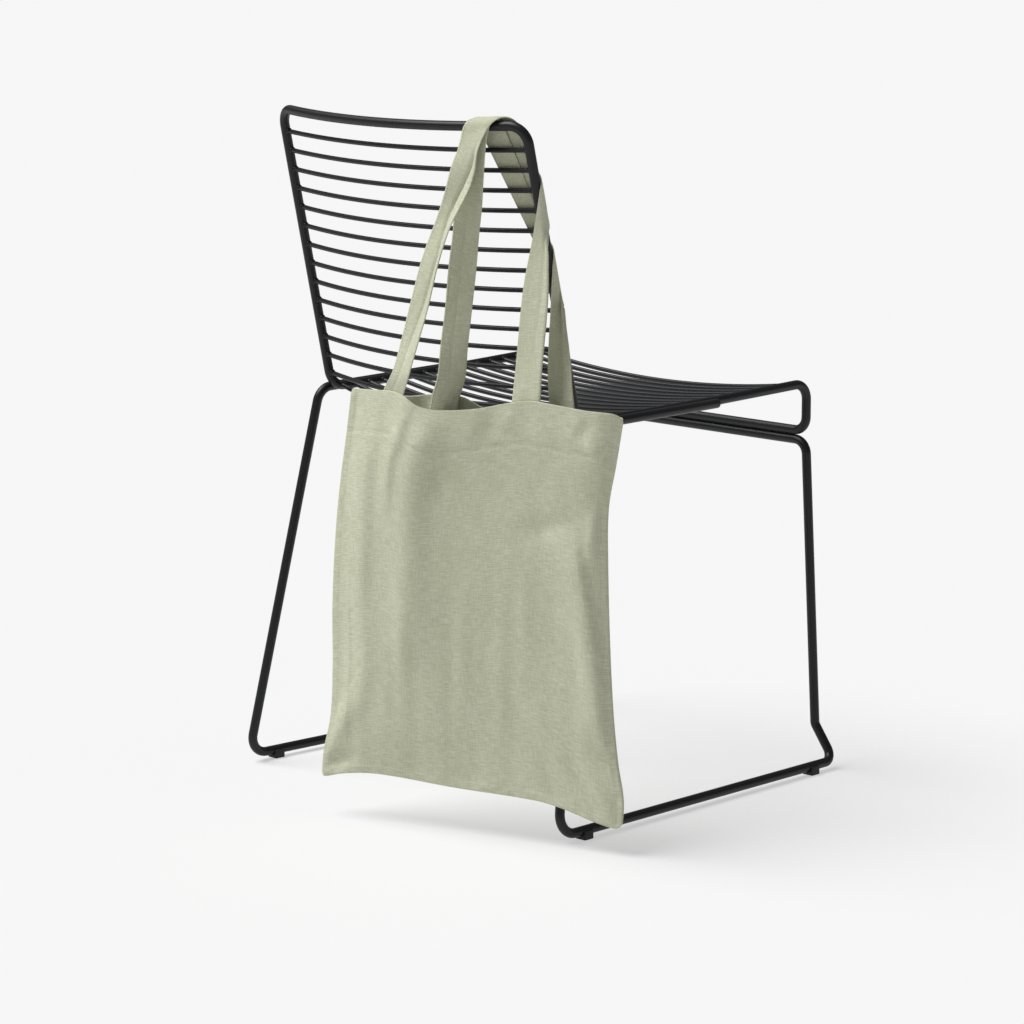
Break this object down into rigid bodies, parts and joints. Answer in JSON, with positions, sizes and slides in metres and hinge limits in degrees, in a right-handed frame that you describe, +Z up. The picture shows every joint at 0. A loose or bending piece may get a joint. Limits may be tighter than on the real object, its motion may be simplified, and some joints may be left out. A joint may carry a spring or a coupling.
{
  "type": "linen tote bag on a wire chair",
  "caption": "Open linen tote bag with long sewn-on handles, hanging from the back corner of a wire chair on a sled base.",
  "frame": {"origin": "middle of the whole part's footprint, at the floor the chair stands on", "axes": "+Z up; +Y towards the front of the chair's seat; +X towards the side of the chair that the bag hangs on"},
  "size_m": [0.6114, 0.5802, 0.7968],
  "materials": {
    "linen": "plain-woven washed linen in pale sage, slubby and matt",
    "powder_coat": "near-black powder coat, fine-textured, half matt",
    "glide_plastic": "black moulded plastic, matt"
  },
  "bodies": {
    "root": {"upper_frame": "powder_coat", "back_wire_01": "powder_coat", "back_wire_02": "powder_coat", "back_wire_03": "powder_coat", "back_wire_04": "powder_coat", "back_wire_05": "powder_coat", "back_wire_06": "powder_coat", "back_wire_07": "powder_coat", "back_wire_08": "powder_coat", "back_wire_09": "powder_coat", "back_wire_10": "powder_coat", "back_wire_11": "powder_coat", "back_wire_12": "powder_coat", "back_wire_13": "powder_coat", "back_wire_14": "powder_coat", "seat_wire_15": "powder_coat", "seat_wire_16": "powder_coat", "seat_wire_17": "powder_coat", "seat_wire_18": "powder_coat", "seat_wire_19": "powder_coat", "seat_wire_20": "powder_coat", "seat_wire_21": "powder_coat", "seat_wire_22": "powder_coat", "seat_wire_23": "powder_coat", "seat_wire_24": "powder_coat", "seat_wire_25": "powder_coat", "seat_wire_26": "powder_coat", "seat_wire_27": "powder_coat", "seat_wire_28": "powder_coat", "seat_wire_29": "powder_coat", "seat_wire_30": "powder_coat", "base": "powder_coat", "glide_rear_left": "glide_plastic", "glide_rear_right": "glide_plastic", "glide_front_left": "glide_plastic", "glide_front_right": "glide_plastic", "front_panel": "linen", "back_panel": "linen", "front_handle": "linen", "back_handle": "linen"}
  },
  "joints": []
}
